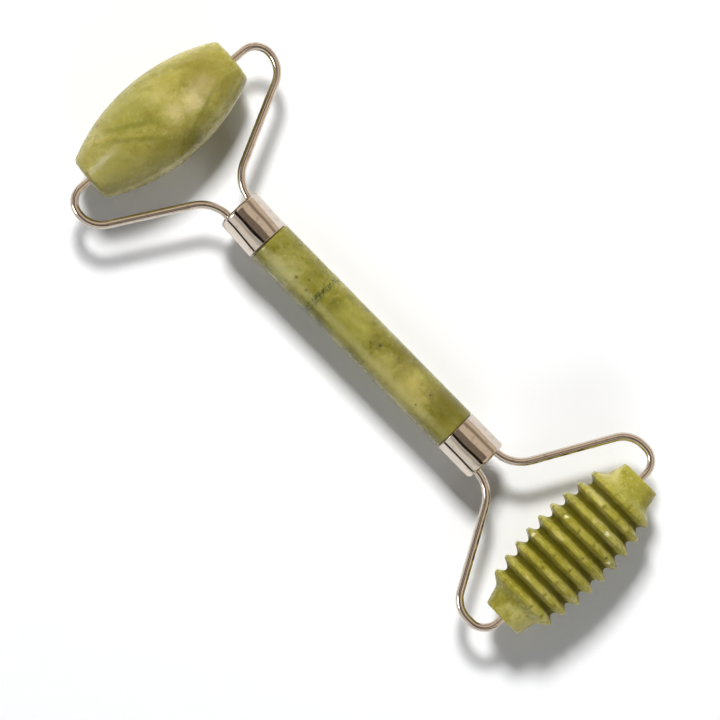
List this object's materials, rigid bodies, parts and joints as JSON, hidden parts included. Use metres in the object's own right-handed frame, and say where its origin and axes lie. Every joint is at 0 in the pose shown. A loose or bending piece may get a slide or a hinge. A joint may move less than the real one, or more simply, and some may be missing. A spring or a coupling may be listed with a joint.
{
  "type": "two-ended stone face roller",
  "caption": "Hand-held stone face roller: a round stone handle with a wire fork at each end, one holding a smooth barrel roller and one a ridged barrel roller that turn freely.",
  "frame": {"origin": "middle of the handle, on its own axis", "axes": "+X along the handle towards the ridged roller, +Y across it in the plane of both wire forks, +Z out of that plane; the rollers rest on Z = -10 mm"},
  "size_m": [0.1449, 0.0557, 0.02],
  "materials": {
    "stone": "polished yellow-green serpentine",
    "plated_steel": "bright nickel plate",
    "plated_wire": "bright nickel plate",
    "epoxy": "cured epoxy glue",
    "nylon": "natural nylon"
  },
  "bodies": {
    "handle": {"handle_stone": "stone", "smooth_ferrule": "plated_steel", "smooth_glue_fill": "epoxy", "smooth_wire_fork": "plated_wire", "ridged_ferrule": "plated_steel", "ridged_glue_fill": "epoxy", "ridged_wire_fork": "plated_wire"},
    "smooth_roller": {"smooth_roller_stone": "stone", "smooth_bush_left": "nylon", "smooth_bush_right": "nylon"},
    "ridged_roller": {"ridged_roller_stone": "stone", "ridged_bush_left": "nylon", "ridged_bush_right": "nylon"}
  },
  "joints": [
    {"name": "smooth_roller_spin", "type": "hinge", "parent": "handle", "child": "smooth_roller", "pos_m": [-0.06176, 0.00169, 0], "axis": [0.0767, 0.9971, 0], "continuous": true},
    {"name": "ridged_roller_spin", "type": "hinge", "parent": "handle", "child": "ridged_roller", "pos_m": [0.0634, 0.00002, 0], "axis": [-0.0105, 0.9999, 0], "continuous": true}
  ]
}
